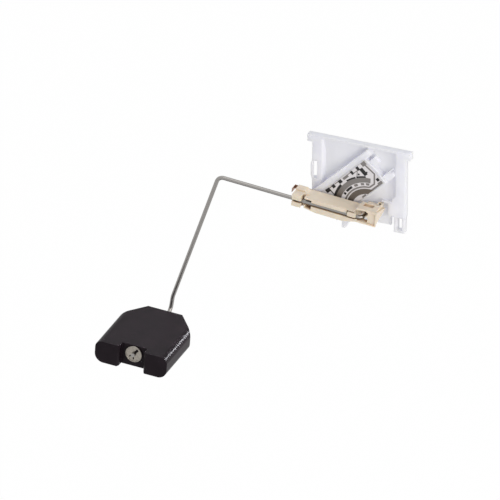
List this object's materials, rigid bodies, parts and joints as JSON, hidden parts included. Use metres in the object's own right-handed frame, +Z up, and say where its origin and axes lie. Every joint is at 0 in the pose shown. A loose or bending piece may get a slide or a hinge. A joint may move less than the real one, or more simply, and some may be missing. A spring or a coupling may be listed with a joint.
{
  "type": "fuel level sensor",
  "caption": "Fuel tank level sensor: a bent steel wire with a foam float swings a lever whose wiper slides over a printed resistor card in a moulded housing.",
  "frame": {"origin": "on the lever's pivot axis at the housing's back face", "axes": "+X along the housing's top flange to the right as seen from the front, +Y out of the back face, +Z up towards the flange; the lever, wire and float are at -Y"},
  "size_m": [0.1738, 0.0785, 0.1437],
  "materials": {
    "acetal_natural": "satin natural acetal",
    "ceramic": "fired ceramic substrate",
    "contact_ink": "fired silver and palladium print",
    "resistor_ink": "fired resistor print",
    "acetal_cream": "satin cream acetal",
    "spring_metal": "rolled spring bronze",
    "wire_steel": "drawn stainless wire",
    "washer_steel": "zinc plated",
    "foam": "closed-cell nitrile foam"
  },
  "bodies": {
    "base": {"housing": "acetal_natural", "resistor_card": "ceramic", "outer_contact_band": "contact_ink", "inner_contact_band": "contact_ink", "ring_trace": "contact_ink", "edge_trace": "contact_ink", "upper_solder_pad": "contact_ink", "side_solder_pad": "contact_ink", "link_traces": "contact_ink", "trim_bars": "contact_ink", "resistor_patches": "resistor_ink", "upper_edge_resistor": "resistor_ink", "middle_edge_resistor": "resistor_ink", "lower_edge_resistor": "resistor_ink", "trim_resistors": "resistor_ink"},
    "arm": {"wiper_carrier": "acetal_cream", "wiper_spring": "spring_metal", "wiper_tips": "washer_steel", "float_wire": "wire_steel", "retaining_washer": "washer_steel"},
    "float_body": {"float": "foam"}
  },
  "joints": [
    {"name": "lever_pivot", "type": "hinge", "parent": "base", "child": "arm", "pos_m": [0, 0, 0], "axis": [0, 1, 0], "range_deg": [0, 83]},
    {"name": "float_swivel", "type": "hinge", "parent": "arm", "child": "float_body", "pos_m": [-0.12487, -0.05, -0.09153], "axis": [0, 1, 0], "continuous": true}
  ]
}
